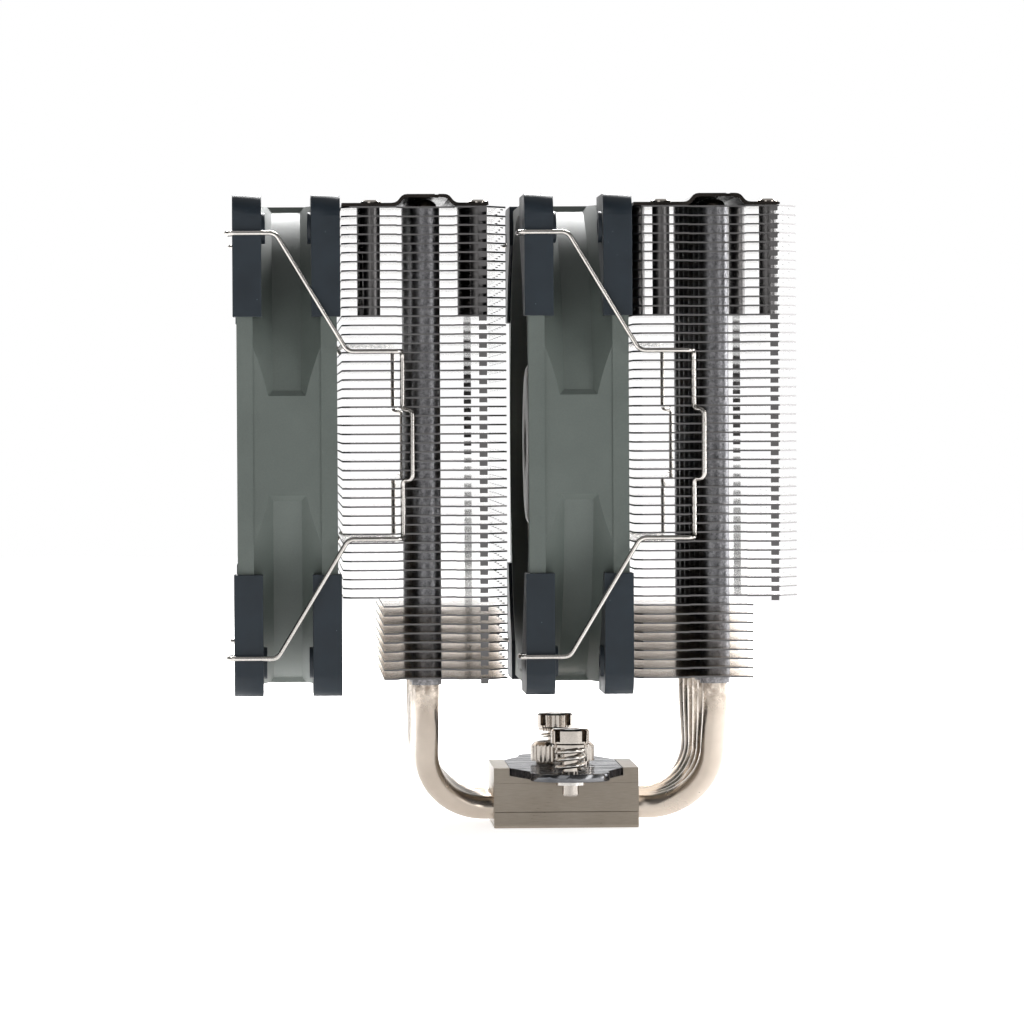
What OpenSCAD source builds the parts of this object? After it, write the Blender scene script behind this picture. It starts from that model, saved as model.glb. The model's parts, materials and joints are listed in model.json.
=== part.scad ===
// Twin-tower processor cooler with two clip-on fans.
// Millimetres. X runs along the airflow, Y along the fan faces, Z up.
// The origin is the middle of the contact face under the base.

/* [Fin towers] */
// Number of fins in each tower
fin_count = 53; // [30:1:70]
// Number of lower fins cut back to clear memory modules
short_fin_count = 9; // [2:1:16]
// Height from one fin to the next
fin_pitch = 2.19; // [1.9:0.01:3]
// Thickness of a fin
fin_t = 0.4; // [0.3:0.05:0.6]
// Height of the underside of the lowest fin
fin_floor = 38.8; // [37:0.1:60]
// Length of the fins along Y
fin_depth = 120; // [100:1:160]
// Reach of a fin from the pipe row to its inlet edge
fin_inlet = 20.35; // [19:0.05:30]
// Reach of a fin from the pipe row to its exhaust edge
fin_exhaust = 19.5; // [19:0.1:30]
// Reach of a short fin on the outside of the inlet-side tower
short_inlet = 10.6; // [9.5:0.1:15]
// Reach of a short fin on the outside of the exhaust-side tower
short_exhaust = 8.3; // [8:0.1:15]
// Half width of the clip notch in the fin ends
notch_half = 7; // [6:0.1:8]
// Depth of the clip notch
notch_depth = 3; // [2.6:0.1:4]
// Wall of the collars round the pipes
collar_wall = 0.65; // [0.5:0.05:1]
// Length of the collars below each fin
collar_h = 1.75; // [1:0.05:1.8]

/* [Top covers] */
// Thickness of the cover sheet
cover_t = 0.8; // [0.5:0.1:1.5]
// Height of the hump over the pipe ends, above the top fin
hump_h = 2.9; // [2.4:0.1:5]
// Reach of the hump's top beyond the pipes on each side
hump_margin = 2.6; // [2:0.1:5]
// Diameter of the cover screws
cover_screw_d = 2.7; // [2:0.1:3]
// Length of the cover screws under the head
cover_screw_len = 24; // [12:0.5:28]
// Distance of the cover screws from the pipe row
cover_screw_x = 13; // [11:0.1:14]
// Distance of the cover screws from the ends of the fins
cover_screw_inset = 10.5; // [8:0.1:12]
// Number of fins that the cover screws pass
screwed_fins = 12; // [11:1:14]

/* [Heat pipes] */
// Diameter of the heat pipes
pipe_d = 6; // [4.8:0.1:7.2]
// Gap between neighbouring pipes inside the base
base_pipe_gap = 0.1; // [0.1:0.01:1.4]
// Spacing of the pipes in the fin towers
tower_pitch = 18; // [14:0.1:20]
// Height of the pipe centres in the base
pipe_z = 5.2; // [4.4:0.1:7]
// Straight length of the pipes between the base and their bends
pipe_run = 2.2; // [0.5:0.1:5]

/* [Base] */
// Width of the base along X
base_w = 36; // [30:0.1:46]
// Margin of the base beyond the outer pipes
base_margin = 1; // [0.6:0.05:8]
// Height of the base
base_h = 15; // [13.5:0.1:20]
// Thickness of the contact plate
plate_t = 4.1; // [3:0.1:5]

/* [Mounting bar] */
// Width of the bar across the base
bar_w = 28; // [22:0.5:29]
// Width of the bar at its ends
bar_end_w = 19.4; // [14:0.2:22]
// Thickness of the bar
bar_t = 2; // [1.5:0.1:3]
// Distance from the middle to each spring screw
screw_reach = 40; // [32:0.5:50]
// Diameter of the knurled nut
nut_d = 16; // [12:0.5:20]
// Height of the knurled nut
nut_h = 5.6; // [4:0.1:7]
// Diameter of the clamp stud
stud_d = 5; // [4:0.5:6]

/* [Spring screws] */
// Diameter of the screw head
head_d = 9.4; // [8:0.1:12]
// Height of the screw head
head_h = 3.9; // [3:0.1:5]
// Diameter of the threaded end
thread_d = 4; // [3:0.5:5]
// Length of the spring as fitted
spring_len = 6.3; // [5.5:0.1:9]
// Diameter of the spring wire
spring_wire = 1.1; // [0.6:0.05:1.2]
// Outside diameter of the spring
spring_d = 7.6; // [7:0.1:9]
// Thickness of the washer under the head
washer_t = 0.6; // [0.4:0.1:1]

/* [Fans] */
// Width of the fan frame
frame_w = 118.8; // [100:0.2:145]
// Thickness of the fan frame
frame_t = 24.2; // [21:0.1:30]
// Thickness of each flange of the frame
flange_t = 3.9; // [3:0.1:5]
// Distance of the screw holes from the edge of the frame
hole_inset = 6.8; // [6:0.1:8]
// Free gap between the impeller and the duct
tip_gap = 1.2; // [0.6:0.1:2]
// Number of impeller blades
blade_count = 9; // [5:1:11]
// Outside diameter of the impeller hub
hub_d = 41; // [38:0.5:48]
// Diameter of the fan shaft
shaft_d = 3; // [2:0.5:4]
// Length of a rubber pad along each edge
pad_len = 29.5; // [20:0.5:32]
// Thickness of the pads on the faces of the fan
pad_face = 0.9; // [0.4:0.1:2]
// Thickness of the pads on the sides of the fan
pad_side = 1.2; // [0.5:0.1:2]
// Free gap between the inlet-side tower and the inner fan
fan_air_gap = 4.25; // [4:0.05:12]

/* [Fan clips] */
// Diameter of the clip wire
wire_d = 1.15; // [0.8:0.05:1.4]
// Distance of the clip hooks from the middle of the screw holes
clip_hook_shift = 1.4; // [0.5:0.1:1.4]
// Height of the hooked part above and below the fan centre
clip_hook_z = 22.6; // [15:0.1:30]
// Height of the finger grip above and below the fan centre
clip_grip_z = 8.4; // [5:0.1:12]

/* [Hidden] */
$fn = 48;

gap = 0.3;             // free gap between pieces that move past each other
fit = 0.03;            // radial clearance of soldered, pressed and running fits
cut = 1;               // how far a cutting shape runs past a face

// fans
fan_t = frame_t + 2 * pad_face;
frame_half = frame_w / 2;
fan_half = frame_half + pad_side;
web_half = frame_half - 0.3;            // flat web between the flanges
duct_r = web_half - 2;                  // inside radius of the duct
duct_floor_r = duct_r + 2.2;            // outside radius at the middle of the duct
duct_floor_half = 3.5;                  // half width of that narrow middle
web_in = frame_t / 2 - flange_t;        // where the flanges begin
flare_r = duct_floor_r + 0.95 * (web_in - duct_floor_half);
side_flat = 12;                         // half length of the flat on each side
corner_r = 4;                           // corner radius of the frame
hole_pos = frame_half - hole_inset;
peg_hole_r = 2.1;                       // hole through a pad's peg
peg_r = peg_hole_r + 0.5;
pad_inner = 2.2;                        // thickness of a pad behind the flange
hub_r = hub_d / 2;
blade_r = duct_r - tip_gap;
motor_base_z = frame_t / 2 - 3;         // inner face of the motor mount
hub_top = -frame_t / 2 + 1.6;           // inlet face of the hub
hub_end = motor_base_z - 1.6;           // open end of the hub
hub_wall = 1.5;
yoke_wall = 0.8;
yoke_r = hub_r - hub_wall;
magnet_r = yoke_r - yoke_wall;
magnet_in = magnet_r - 1.9;
board_t = 1.1;
tube_r = 4.2;                           // bearing tube of the motor mount
sleeve_r = 3.4;
strut_count = 4;

// towers
tower_x = (fin_exhaust + fan_air_gap + fan_t + gap + fin_inlet) / 2;
fin_half = fin_depth / 2;
fin_top = fin_floor + (fin_count - 1) * fin_pitch + fin_t;
pipe_r = pipe_d / 2;
pipe_count = 6;
base_pitch = pipe_d + base_pipe_gap;
collar_d = pipe_d + 2 * collar_wall;
hump_half = pipe_r + hump_margin;
bend_r = tower_x - base_w / 2 - pipe_run;
pipe_tip = fin_top + hump_h - cover_t - 0.15;
pipe_rows = [for (i = [0 : pipe_count - 1]) i - (pipe_count - 1) / 2];
cover_screw_y = fin_half - cover_screw_inset;
outer_fan_x = -tower_x - fin_inlet - gap - fan_t / 2;
inner_fan_x = tower_x - fin_inlet - gap - fan_t / 2;

// base and mounting parts
base_d = (pipe_count - 1) * base_pitch + pipe_d + 2 * base_margin;
bar_z = base_h - bar_t;
shank_hole_r = thread_d / 2 + 0.35;
spring_z = base_h;
washer_z = spring_z + spring_len;
head_z = washer_z + washer_t;
thread_end = bar_z - 3.7;
ring_t = 0.7;
ring_z = bar_z - gap - ring_t;

// The fans stand a little above the covers, or higher where they would meet the screws
fan_rise = 2.2;
fan_z = max(fin_top + cover_t + fan_rise - fan_half, head_z + head_h + 2 + fan_half);

// fan clips
wire_r = wire_d / 2;
clip_arm_z = hole_pos - clip_hook_shift;
clip_y = max(fan_half, fin_half) + gap + wire_r + 0.3;
clip_depth_y = fin_half - notch_depth + wire_r + gap + 0.6;
clip_sides = 8;

function unit(v) = v / norm(v);

// Direction of a line of points at each point
function directions(p) = [
  for (i = [0 : len(p) - 1])
    i == 0 ? unit(p[1] - p[0])
    : i == len(p) - 1 ? unit(p[i] - p[i - 1])
    : unit(unit(p[i + 1] - p[i]) + unit(p[i] - p[i - 1]))
];

// A normal carried along the line without twist
function carried(t, n, i = 0) =
  i == len(t) ? []
  : let (m = unit(n - (n * t[i]) * t[i])) concat([m], carried(t, m, i + 1));

// A line of points with every corner replaced by a short smooth bend
function softened(p, reach, steps) = concat(
  [p[0]],
  [for (i = [1 : len(p) - 2])
    let (
      a = p[i] + unit(p[i - 1] - p[i]) * min(reach, norm(p[i - 1] - p[i]) * 0.45),
      b = p[i] + unit(p[i + 1] - p[i]) * min(reach, norm(p[i + 1] - p[i]) * 0.45)
    )
    for (k = [0 : steps])
      let (s = k / steps) a * (1 - s) * (1 - s) + p[i] * 2 * s * (1 - s) + b * s * s],
  [p[len(p) - 1]]
);

// A closed round tube along a line of points, with a radius at each point
module sweep(p, radii, sides, first_normal) {
  t = directions(p);
  n = carried(t, first_normal);
  rings = len(p);
  points = [
    for (i = [0 : rings - 1])
      let (b = cross(t[i], n[i]))
      for (k = [0 : sides - 1])
        let (a = 360 * k / sides) p[i] + radii[i] * (cos(a) * n[i] + sin(a) * b)
  ];
  faces = concat(
    [[for (k = [0 : sides - 1]) k]],
    [for (i = [0 : rings - 2])
      for (k = [0 : sides - 1])
        let (j = (k + 1) % sides)
          [i * sides + k, (i + 1) * sides + k, (i + 1) * sides + j, i * sides + j]],
    [[for (k = [sides - 1 : -1 : 0]) (rings - 1) * sides + k]]
  );
  polyhedron(points, faces, convexity = 8);
}

// ---- heat pipes ----

function smooth(s) = s * s * (3 - 2 * s);

// Half of a pipe's line, from the tip in a tower down to the middle of the base
function half_pipe(row, side) =
  let (
    base_y = row * base_pitch,
    tower_y = row * tower_pitch,
    leg_z = fin_floor - collar_h - 0.8,
    arc_x = tower_x - bend_r,
    drop = leg_z - pipe_z - bend_r,
    arc = bend_r * PI / 2,
    whole = drop + arc + pipe_run,
    place = function (s)
      s < drop ? [tower_x, leg_z - s]
      : s < drop + arc
        ? let (a = (s - drop) / arc * 90)
          [arc_x + bend_r * cos(a), pipe_z + bend_r - bend_r * sin(a)]
        : [arc_x - (s - drop - arc), pipe_z]
  )
  concat(
    [for (z = [pipe_tip, pipe_tip - 0.5, pipe_tip - 2, leg_z + 1]) [side * tower_x, tower_y, z]],
    [for (k = [0 : 18])
      let (s = k / 18, q = place(s * whole))
        [side * q[0], tower_y + (base_y - tower_y) * smooth(s), q[1]]],
    [[side * (base_w / 2 - 1), base_y, pipe_z]]
  );

function reversed(p) = [for (i = [len(p) - 1 : -1 : 0]) p[i]];

module heat_pipe(number) {
  row = pipe_rows[number - 1];
  line = concat(half_pipe(row, -1), reversed(half_pipe(row, 1)));
  last = len(line) - 1;
  tip_radii = [0.35, 0.8, 1];
  radii = [for (i = [0 : last])
    let (end = min(i, last - i)) pipe_r * (end < 3 ? tip_radii[end] : 1)];
  color("rosybrown") sweep(line, radii, 12, [0, 1, 0]);
}

// ---- fin towers ----

module side_notch(m) {
  scale_y = m * fin_half;
  polygon([
    [-notch_half, scale_y + m],
    [-notch_half, scale_y - m * notch_depth],
    [notch_half, scale_y - m * notch_depth],
    [notch_half, scale_y + m]
  ]);
}

// Outline of a fin about its pipe row, with a shallow zigzag exhaust edge
module fin_outline() {
  teeth = 12;
  edge_y = fin_half - 7;
  zigzag = [
    for (i = [0 : teeth])
      [fin_exhaust - 1.2 * (i % 2), -edge_y + 2 * edge_y * i / teeth]
  ];
  difference() {
    polygon(concat(
      [
        [fin_exhaust - 4.6, fin_half],
        [2 - fin_inlet, fin_half],
        [-fin_inlet, fin_half - 3],
        [-fin_inlet, 3 - fin_half],
        [2 - fin_inlet, -fin_half],
        [fin_exhaust - 4.6, -fin_half]
      ],
      zigzag
    ));
    side_notch(1);
    side_notch(-1);
  }
}

// One fin with its collars; reach limits a short fin on its inlet and exhaust sides
module fin(low, high, screwed) {
  screw_r = cover_screw_d / 2;
  difference() {
    union() {
      linear_extrude(fin_t) intersection() {
        fin_outline();
        translate([low, -fin_depth]) square([high - low, 2 * fin_depth]);
      }
      for (row = pipe_rows)
        translate([0, row * tower_pitch, -collar_h]) cylinder(d = collar_d, h = collar_h + fin_t);
      if (screwed)
        for (x = [-1, 1], y = [-1, 1])
          translate([x * cover_screw_x, y * cover_screw_y, -collar_h])
            cylinder(r = screw_r + 0.75, h = collar_h + fin_t);
      for (m = [-1, 1])
        if (high > fin_exhaust - 6)
          translate([fin_exhaust - 6.8, m * (fin_half - 0.2) - 0.2, -1]) cube([1.9, 0.4, 1 + fin_t]);
    }
    for (row = pipe_rows)
      translate([0, row * tower_pitch, -collar_h - cut])
        cylinder(r = pipe_r + fit, h = collar_h + fin_t + 2 * cut);
    if (screwed)
      for (x = [-1, 1], y = [-1, 1])
        translate([x * cover_screw_x, y * cover_screw_y, -collar_h - cut])
          cylinder(r = screw_r + 0.15, h = collar_h + fin_t + 2 * cut);
  }
}

module fins(side, first, last, low, high) {
  color("silver")
    for (i = [first : last])
      translate([side * tower_x, 0, fin_floor + i * fin_pitch])
        fin(low, high, i >= fin_count - screwed_fins);
}

module upper_fins(side) {
  fins(side, short_fin_count, fin_count - 1, -fin_inlet - 1, fin_exhaust + 1);
}

module left_lower_fins() {
  fins(-1, 0, short_fin_count - 1, -short_inlet, fin_exhaust + 1);
}

module right_lower_fins() {
  fins(1, 0, short_fin_count - 1, -fin_inlet - 1, short_exhaust);
}

// ---- top covers ----

module top_cover(side) {
  foot = hump_half + 1.4;
  wall = cover_t * 1.2;
  lean = 1.4 * cover_t / (hump_h - cover_t);
  inner_foot = foot + lean - wall;
  color([0.15, 0.13, 0.12])
    translate([side * tower_x, fin_half, fin_top])
      difference() {
        rotate([90, 0, 0])
          linear_extrude(fin_depth)
            polygon(softened([
              [0.1 - fin_inlet, 0],
              [-inner_foot, 0],
              [-inner_foot + 1.4, hump_h - cover_t],
              [inner_foot - 1.4, hump_h - cover_t],
              [inner_foot, 0],
              [fin_exhaust - 4.3, 0],
              [fin_exhaust - 4.3, cover_t],
              [foot, cover_t],
              [hump_half, hump_h],
              [-hump_half, hump_h],
              [-foot, cover_t],
              [0.1 - fin_inlet, cover_t]
            ], 1.2, 3));
        for (x = [-1, 1], y = [-1, 1])
          translate([x * cover_screw_x, y * cover_screw_y - fin_half, -cut])
            cylinder(r = cover_screw_d / 2 + 0.15, h = cover_t + 2 * cut);
        for (m = [-1, 1])
          translate([2.2, m * (fin_half - 1.5) - fin_half - 2.5, hump_h - cover_t - cut])
            cube([0.9, 5, 2 * cut + cover_t]);
      }
}

module cover_screws(side) {
  shank_r = cover_screw_d / 2;
  tip = 3.5;
  color("silver")
    for (x = [-1, 1], y = [-1, 1])
      translate([side * tower_x + x * cover_screw_x, y * cover_screw_y, fin_top + cover_t])
        difference() {
          rotate_extrude()
            polygon([
              [0, -cover_screw_len],
              [0.2, -cover_screw_len],
              [shank_r, tip - cover_screw_len],
              [shank_r, 0],
              [2.5, 0],
              [2.5, 0.6],
              [1.9, 1],
              [0, 1]
            ]);
          for (a = [0, 90])
            rotate(a) translate([-1.3, -0.25, 0.4]) cube([2.6, 0.5, 1]);
        }
}

// ---- base, bar and clamp ----

module pipe_grooves(flat_to_seam) {
  for (row = pipe_rows)
    translate([-base_w, row * base_pitch, pipe_z])
      rotate([0, 90, 0]) cylinder(r = pipe_r + fit, h = 2 * base_w);
  if (flat_to_seam) {
    span = (pipe_count - 1) * base_pitch;
    translate([-base_w, -span / 2, plate_t - cut]) cube([2 * base_w, span, pipe_z - plate_t + cut]);
  }
}

module base_plate() {
  edge = 0.6;
  color("tan")
    difference() {
      rotate([90, 0, 90])
        translate([0, 0, -base_w / 2])
          linear_extrude(base_w)
            polygon([
              [-base_d / 2 + edge, 0],
              [base_d / 2 - edge, 0],
              [base_d / 2, edge],
              [base_d / 2, plate_t],
              [-base_d / 2, plate_t],
              [-base_d / 2, edge]
            ]);
      pipe_grooves(false);
    }
}

module base_cover() {
  line_z = base_h - 3.8;
  color("tan")
    difference() {
      translate([-base_w / 2, -base_d / 2, plate_t]) cube([base_w, base_d, base_h - plate_t]);
      pipe_grooves(true);
      translate([-bar_w / 2 - 0.1, -base_d, bar_z]) cube([bar_w + 0.2, 2 * base_d, bar_t + cut]);
      translate([0, 0, bar_z - 2.5]) cylinder(r = stud_d / 2, h = 2.5 + cut);
      for (m = [-1, 1])
        translate([-base_w, m * base_d / 2 - 0.12, line_z]) cube([2 * base_w, 0.24, 0.25]);
    }
}

module mounting_bar() {
  nose = bar_end_w / 2;
  nose_y = screw_reach - 1.2;
  taper_y = base_d / 2 - 0.5;
  color("gainsboro")
    translate([0, 0, bar_z])
      linear_extrude(bar_t)
        difference() {
          union() {
            polygon([
              [-bar_w / 2, -taper_y],
              [-nose, 5 - nose_y],
              [-nose, -nose_y],
              [nose, -nose_y],
              [nose, 5 - nose_y],
              [bar_w / 2, -taper_y],
              [bar_w / 2, taper_y],
              [nose, nose_y - 5],
              [nose, nose_y],
              [-nose, nose_y],
              [-nose, nose_y - 5],
              [-bar_w / 2, taper_y]
            ]);
            for (m = [-1, 1])
              translate([0, m * nose_y]) circle(r = nose);
          }
          circle(r = stud_d / 2 + fit);
          for (m = [-1, 1])
            translate([0, m * screw_reach]) circle(r = shank_hole_r);
        }
}

module clamp_stud() {
  color("silver")
    translate([0, 0, bar_z - 2.5])
      rotate_extrude()
        polygon([
          [0, 0],
          [stud_d / 2, 0],
          [stud_d / 2, bar_t + nut_h + 1.5],
          [stud_d / 2 - 0.5, bar_t + nut_h + 2],
          [0, bar_t + nut_h + 2]
        ]);
}

module clamp_nut() {
  ridges = 40;
  nut_r = nut_d / 2;
  color("silver")
    translate([0, 0, base_h + 0.05])
      difference() {
        intersection() {
          linear_extrude(nut_h)
            difference() {
              circle(r = nut_r);
              for (i = [0 : ridges - 1])
                rotate(i * 360 / ridges)
                  translate([nut_r + 0.15, 0])
                    rotate(45) square(0.8, center = true);
            }
          rotate_extrude()
            polygon([
              [0, 0],
              [nut_r - 1.2, 0],
              [nut_r - 1.2, 0.8],
              [nut_r, 0.8],
              [nut_r, nut_h - 1],
              [nut_r - 1, nut_h],
              [0, nut_h]
            ]);
        }
        translate([0, 0, -cut]) cylinder(r = stud_d / 2 + fit, h = nut_h + 2 * cut);
      }
}

module spring_screw(m) {
  head_r = head_d / 2;
  thread_r = thread_d / 2;
  slot = 1.7;
  color("silver")
    translate([0, m * screw_reach, 0])
      difference() {
        rotate_extrude()
          polygon([
            [0, thread_end],
            [thread_r - 0.4, thread_end],
            [thread_r, thread_end + 0.4],
            [thread_r, ring_z - 0.03],
            [thread_r - 0.4, ring_z - 0.03],
            [thread_r - 0.4, ring_z + ring_t + 0.03],
            [thread_r, ring_z + ring_t + 0.03],
            [thread_r, head_z + 0.03],
            [head_r - 0.3, head_z + 0.03],
            [head_r, head_z + 0.4],
            [head_r, head_z + head_h - 0.5],
            [head_r - 0.5, head_z + head_h],
            [0, head_z + head_h]
          ]);
        for (a = [45, 135])
          rotate(a)
            translate([-head_d, -slot / 2, head_z + 0.8]) cube([2 * head_d, slot, head_h]);
      }
}

module screw_washer(m) {
  color("silver")
    translate([0, m * screw_reach, washer_z])
      difference() {
        cylinder(d = head_d - 0.5, h = washer_t);
        translate([0, 0, -cut]) cylinder(d = thread_d + 2 * fit, h = washer_t + 2 * cut);
      }
}

module retaining_ring(m) {
  groove_r = thread_d / 2 - 0.4;
  color("dimgray")
    translate([0, m * screw_reach, ring_z])
      difference() {
        cylinder(r = thread_d / 2 + 1.6, h = ring_t);
        translate([0, 0, -cut]) cylinder(r = groove_r + fit, h = ring_t + 2 * cut);
        translate([-groove_r * 0.8, 0, -cut]) cube([groove_r * 1.6, head_d, ring_t + 2 * cut]);
      }
}

// A coil spring with closed ends
module screw_spring(m) {
  turns = 3;
  per_turn = 12;
  steps = turns * per_turn;
  coil_r = (spring_d - spring_wire) / 2;
  free = spring_len - spring_wire - 2 * fit;
  climb = function (s) s < 0.5 ? s * 0.25 : s > turns - 0.5 ? 1 - (turns - s) * 0.25
    : 0.125 + 0.75 * (s - 0.5) / (turns - 1);
  line = [
    for (i = [0 : steps])
      let (a = 360 * i / per_turn, s = i / per_turn)
        [coil_r * cos(a), coil_r * sin(a), free * climb(s)]
  ];
  color("silver")
    translate([0, m * screw_reach, spring_z + spring_wire / 2 + fit])
      sweep(line, [for (p = line) spring_wire / 2], 8, [1, 0, 0]);
}

// ---- fans: drawn with the axis along Z and the inlet at -Z ----

module at_fan(x) {
  translate([x, 0, fan_z]) rotate([0, 90, 0]) children();
}

module rounded_square(half, r) {
  square([2 * half - 2 * r, 2 * half], center = true);
  square([2 * half, 2 * half - 2 * r], center = true);
  for (x = [-1, 1], y = [-1, 1])
    translate([x * (half - r), y * (half - r)]) circle(r = r);
}

// Outside of the duct, narrow in the middle and flared to the flanges
module duct_outside(extra) {
  rotate_extrude()
    polygon([
      [0, -web_in],
      [flare_r + extra, -web_in],
      [duct_floor_r + extra, -duct_floor_half],
      [duct_floor_r + extra, duct_floor_half],
      [flare_r + extra, web_in],
      [0, web_in]
    ]);
}

module frame_shell() {
  for (z = [-frame_t / 2, web_in])
    translate([0, 0, z])
      linear_extrude(flange_t)
        difference() {
          rounded_square(frame_half, corner_r);
          for (x = [-1, 1], y = [-1, 1])
            translate([x * hole_pos, y * hole_pos]) circle(r = peg_r + fit);
        }
  intersection() {
    duct_outside(0);
    cube([2 * web_half, 2 * web_half, frame_t], center = true);
  }
  for (a = [0 : 90 : 270])
    rotate(a)
      translate([0, 0, -web_in])
        linear_extrude(2 * web_in)
          polygon([
            [duct_r, -side_flat - 2],
            [web_half - 2, -side_flat - 2],
            [web_half, -side_flat],
            [web_half, side_flat],
            [web_half - 2, side_flat + 2],
            [duct_r, side_flat + 2]
          ]);
}

// Duct and flanges; the motor mount stands in the duct
module fan_frame(x) {
  color([0.4, 0.43, 0.41])
    at_fan(x)
      difference() {
        frame_shell();
        cylinder(r = duct_r, h = 2 * frame_t, center = true);
      }
}

// Disc and bearing tube, on struts that end at the wall of the duct
module motor_mount(x) {
  color([0.4, 0.43, 0.41])
    at_fan(x) {
      translate([0, 0, motor_base_z])
        difference() {
          union() {
            cylinder(r = hub_r, h = 3);
            intersection() {
              cylinder(r = duct_r, h = 3);
              for (i = [0 : strut_count - 1])
                rotate(45 + 360 * i / strut_count)
                  translate([hub_r - 2, 5, 0.4]) cube([duct_r, 3.2, 2.6]);
            }
          }
          translate([0, 0, 2.7]) cylinder(r = hub_r - 2.5, h = cut);
          translate([0, 0, -cut]) cylinder(r = sleeve_r + 0.01, h = 3);
        }
      translate([0, 0, hub_top + 6])
        difference() {
          cylinder(r = tube_r, h = motor_base_z - hub_top - 6);
          translate([0, 0, -cut]) cylinder(r = sleeve_r + 0.01, h = frame_t);
        }
    }
}

module corner_pad(end) {
  far = fan_half - pad_len;
  depth = pad_face + flange_t + pad_inner;
  mirror([0, 0, end > 0 ? 1 : 0])
    difference() {
      union() {
        translate([0, 0, -fan_t / 2])
          linear_extrude(depth)
            intersection() {
              rounded_square(fan_half, corner_r + pad_side);
              translate([far, far]) square(pad_len);
            }
        translate([hole_pos, hole_pos, -fan_t / 2]) cylinder(r = peg_r + 1.2, h = depth + 0.9);
      }
      translate([0, 0, -frame_t / 2])
        linear_extrude(flange_t)
          difference() {
            rounded_square(frame_half, corner_r);
            translate([hole_pos, hole_pos]) circle(r = peg_r);
          }
      duct_outside(0.15);
      cylinder(r = duct_floor_r + 0.15, h = 2 * fan_t, center = true);
      translate([hole_pos, hole_pos, -fan_t]) cylinder(r = peg_hole_r, h = 2 * fan_t);
    }
}

module fan_pads(x) {
  color([0.2, 0.24, 0.28])
    at_fan(x)
      for (end = [-1, 1], a = [0 : 90 : 270])
        rotate(a) corner_pad(end);
}

// A cambered blade pointing along +X, its leading edge towards the inlet
module blade() {
  camber_r = 42.5;
  blade_t = 1.5;
  intersection() {
    rotate([90, 0, 90])
      translate([0, 0, hub_r - 0.8])
        linear_extrude(blade_r)
          intersection() {
            translate([-24.4, camber_r - 9.2])
              difference() {
                circle(r = camber_r + blade_t / 2, $fn = 96);
                circle(r = camber_r - blade_t / 2, $fn = 96);
              }
            translate([-14, hub_top + 1]) square([28, hub_end - hub_top - 2]);
          }
    translate([0, 0, hub_top])
      linear_extrude(hub_end - hub_top)
        polygon([
          [hub_r - 1, -6],
          [hub_r + 8, -7.5],
          [blade_r * 0.72, -12.4],
          [blade_r + 2, -14],
          [blade_r + 2, 9],
          [blade_r * 0.72, 7.5],
          [hub_r + 8, 5.8],
          [hub_r - 1, 5.2]
        ]);
    cylinder(r = blade_r, h = 2 * frame_t, center = true);
  }
}

module impeller(x) {
  color([0.8, 0.75, 0.69])
    at_fan(x)
      difference() {
        union() {
          translate([0, 0, hub_top]) cylinder(r = hub_r, h = hub_end - hub_top);
          for (i = [0 : blade_count - 1])
            rotate(360 * i / blade_count) blade();
        }
        translate([0, 0, hub_top + hub_wall]) cylinder(r = yoke_r, h = frame_t);
      }
}

module rotor_yoke(x) {
  z = hub_top + hub_wall;
  color("gray")
    at_fan(x)
      translate([0, 0, z])
        difference() {
          cylinder(r = yoke_r, h = hub_end - z - 0.4);
          translate([0, 0, yoke_wall]) cylinder(r = magnet_r, h = frame_t);
          translate([0, 0, -cut]) cylinder(d = shaft_d, h = 2 * cut + yoke_wall);
        }
}

module rotor_magnet(x) {
  color("dimgray")
    at_fan(x)
      translate([0, 0, hub_top + 5])
        difference() {
          cylinder(r = magnet_r, h = hub_end - hub_top - 6);
          translate([0, 0, -cut]) cylinder(r = magnet_in, h = frame_t);
        }
}

module fan_shaft(x) {
  color("silver")
    at_fan(x)
      translate([0, 0, hub_top + hub_wall]) cylinder(d = shaft_d, h = motor_base_z - hub_top - 0.5);
}

module bearing_sleeve(x) {
  color("goldenrod")
    at_fan(x)
      translate([0, 0, hub_top + 6])
        difference() {
          cylinder(r = sleeve_r, h = motor_base_z - hub_top - 6.2);
          translate([0, 0, -cut]) cylinder(r = shaft_d / 2 + fit, h = frame_t);
        }
}

module stator_core(x) {
  pole_r = magnet_in - 0.6;
  color("darkgray")
    at_fan(x)
      translate([0, 0, hub_top + 6.5])
        linear_extrude(motor_base_z - hub_top - 11)
          difference() {
            union() {
              circle(r = tube_r + 2.2);
              intersection() {
                circle(r = pole_r);
                union() {
                  for (a = [0 : 90 : 270])
                    rotate(a) translate([0, -1.8]) square([pole_r, 3.6]);
                  difference() {
                    circle(r = pole_r);
                    circle(r = pole_r - 1.4);
                    for (a = [45, 135])
                      rotate(a) square([3 * pole_r, 4], center = true);
                  }
                }
              }
            }
            circle(r = tube_r + 0.02);
          }
}

module stator_coils(x) {
  pole_r = magnet_in - 0.6;
  coil_in = tube_r + 2.5;
  coil_len = pole_r - 2.2 - coil_in;
  core_h = motor_base_z - hub_top - 11;
  color([0.72, 0.4, 0.2])
    at_fan(x)
      for (a = [0 : 90 : 270])
        rotate(a)
          translate([coil_in, 0, hub_top + 6.5 + core_h / 2])
            difference() {
              translate([0, -3, -core_h / 2 - 1.2]) cube([coil_len, 6, core_h + 2.4]);
              translate([-cut, -1.85, -core_h / 2 - 0.05])
                cube([coil_len + 2 * cut, 3.7, core_h + 0.1]);
            }
}

module fan_board(x) {
  color("darkgreen")
    at_fan(x)
      translate([0, 0, motor_base_z - board_t])
        difference() {
          cylinder(r = magnet_in, h = board_t);
          translate([0, 0, -cut]) cylinder(r = tube_r + 0.05, h = board_t + 2 * cut);
        }
}

module hub_disc(x) {
  color("black")
    at_fan(x)
      translate([0, 0, motor_base_z + 2.7]) cylinder(r = hub_r - 2.6, h = 0.25);
}

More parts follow.
